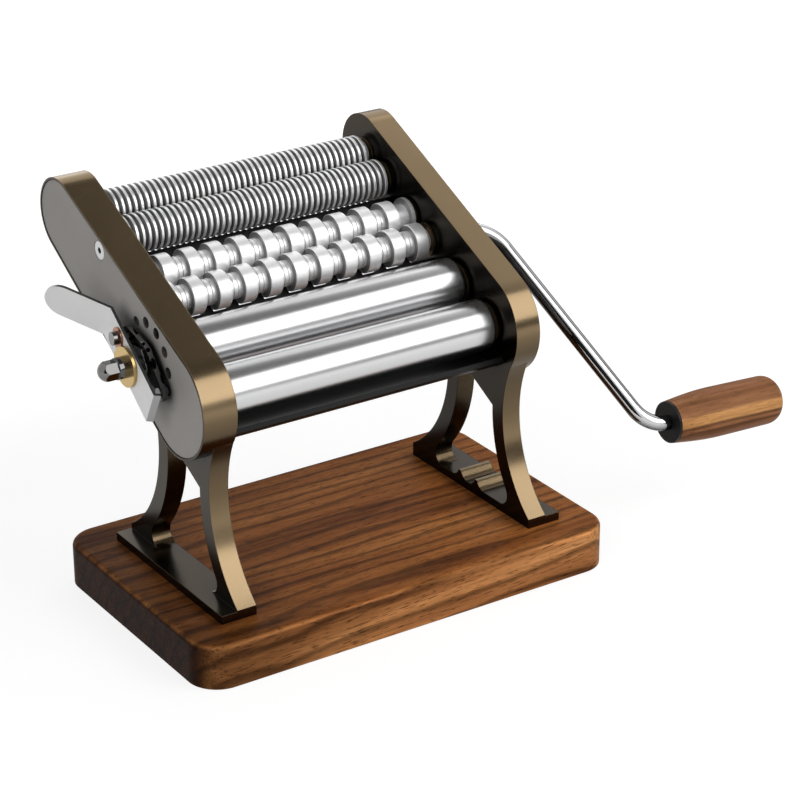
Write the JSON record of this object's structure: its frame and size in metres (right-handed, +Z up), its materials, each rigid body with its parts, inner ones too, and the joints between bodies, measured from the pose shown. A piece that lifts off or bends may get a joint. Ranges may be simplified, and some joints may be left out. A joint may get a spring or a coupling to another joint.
{
  "type": "hand-cranked pasta machine",
  "caption": "Hand-cranked pasta machine on a wooden board: sloped side frames hold smooth sheet rollers, wide and fine cutters, a thickness lever and a plug-in crank.",
  "frame": {"origin": "middle of the board's underside, on the table", "axes": "+X along the rollers towards the crank, +Y to the back where the machine is highest, +Z up"},
  "size_m": [0.3685, 0.1903, 0.1999],
  "materials": {
    "walnut": "oiled dark wood, grain along the rollers",
    "bronze": "bronze-coloured satin brushed lacquer",
    "grey_plate": "matte grey",
    "bright_steel": "zinc plated",
    "black_guard": "black",
    "bearing_bronze": "sintered bronze",
    "comb_plastic": "off-white",
    "roller_steel": "polished",
    "gear_steel": "machined",
    "hub_chrome": "dark polished",
    "brass": "polished",
    "chrome": "polished",
    "lever_sheet": "satin",
    "copper": "copper washer, polished",
    "handle_wood": "turned and lacquered"
  },
  "bodies": {
    "frame": {"base_board": "walnut", "base_bolts": "bright_steel", "left_side_frame": "bronze", "right_side_frame": "bronze", "left_face_plate": "grey_plate", "right_face_plate": "grey_plate", "face_plate_screws": "bright_steel", "tie_rods": "bright_steel", "lower_guard": "black_guard", "left_bushes": "bearing_bronze", "right_bushes": "bearing_bronze", "fine_front_comb": "comb_plastic", "fine_rear_comb": "comb_plastic", "wide_front_comb": "comb_plastic", "wide_rear_comb": "comb_plastic"},
    "fine_front": {"fine_front_cutter": "roller_steel", "fine_front_gear": "gear_steel"},
    "fine_rear": {"fine_rear_cutter": "roller_steel", "fine_rear_gear": "gear_steel"},
    "wide_front": {"wide_front_cutter": "roller_steel", "wide_front_gear": "gear_steel"},
    "wide_rear": {"wide_rear_cutter": "roller_steel", "wide_rear_gear": "gear_steel"},
    "smooth_front": {"smooth_front_roller": "roller_steel", "smooth_front_gear": "gear_steel"},
    "smooth_rear": {"smooth_rear_roller": "roller_steel", "smooth_rear_gear": "gear_steel"},
    "bush_carrier": {"roller_bushes": "bearing_bronze"},
    "adjuster": {"eccentric_shaft": "bright_steel", "adjuster_hub": "hub_chrome", "right_eccentric": "bright_steel", "brass_washer": "brass", "acorn_nut": "chrome"},
    "index_lever": {"index_arm": "chrome", "index_pin": "bright_steel", "adjuster_lever": "lever_sheet", "lever_rivet": "chrome", "rivet_washer": "copper"},
    "crank": {"crank_rod": "chrome", "crank_pin": "bright_steel", "grip_collar": "bright_steel"},
    "grip": {"grip_bush": "black_guard", "crank_grip": "handle_wood"}
  },
  "joints": [
    {"name": "fine_front_spin", "type": "hinge", "parent": "frame", "child": "fine_front", "pos_m": [0, 0.07994, 0.17061], "axis": [1, 0, 0], "continuous": true},
    {"name": "fine_rear_spin", "type": "hinge", "parent": "frame", "child": "fine_rear", "pos_m": [0, 0.09651, 0.17927], "axis": [1, 0, 0], "continuous": true},
    {"name": "wide_front_spin", "type": "hinge", "parent": "frame", "child": "wide_front", "pos_m": [0, 0.03926, 0.14934], "axis": [1, 0, 0], "continuous": true},
    {"name": "wide_rear_spin", "type": "hinge", "parent": "frame", "child": "wide_rear", "pos_m": [0, 0.05512, 0.15764], "axis": [1, 0, 0], "continuous": true},
    {"name": "smooth_front_spin", "type": "hinge", "parent": "frame", "child": "smooth_front", "pos_m": [0, -0.014, 0.1215], "axis": [1, 0, 0], "continuous": true},
    {"name": "adjuster_turn", "type": "hinge", "parent": "frame", "child": "adjuster", "pos_m": [0, 0.01125, 0.1347], "axis": [-1, 0, 0], "range_deg": [0, 150]},
    {"name": "bush_turn", "type": "hinge", "parent": "adjuster", "child": "bush_carrier", "pos_m": [0, 0.01247, 0.13497], "axis": [-1, 0, 0], "range_deg": [-150, 0]},
    {"name": "smooth_rear_spin", "type": "hinge", "parent": "bush_carrier", "child": "smooth_rear", "pos_m": [0, 0.01247, 0.13497], "axis": [1, 0, 0], "continuous": true},
    {"name": "index_press", "type": "slide", "parent": "adjuster", "child": "index_lever", "axis": [1, 0, 0], "range_m": [0, 0.0017]},
    {"name": "crank_pull", "type": "slide", "parent": "wide_front", "child": "crank", "axis": [1, 0, 0], "range_m": [0, 0.018]},
    {"name": "grip_spin", "type": "hinge", "parent": "crank", "child": "grip", "pos_m": [0.17064, -0.04849, 0.05656], "axis": [0.9988, -0.0336, -0.0355], "continuous": true}
  ],
  "couplings": [
    {"joint": "fine_rear_spin", "follows": "fine_front_spin", "ratio": -1},
    {"joint": "wide_rear_spin", "follows": "wide_front_spin", "ratio": -1},
    {"joint": "smooth_rear_spin", "follows": "smooth_front_spin", "ratio": -1},
    {"joint": "bush_turn", "follows": "adjuster_turn", "ratio": -1}
  ]
}
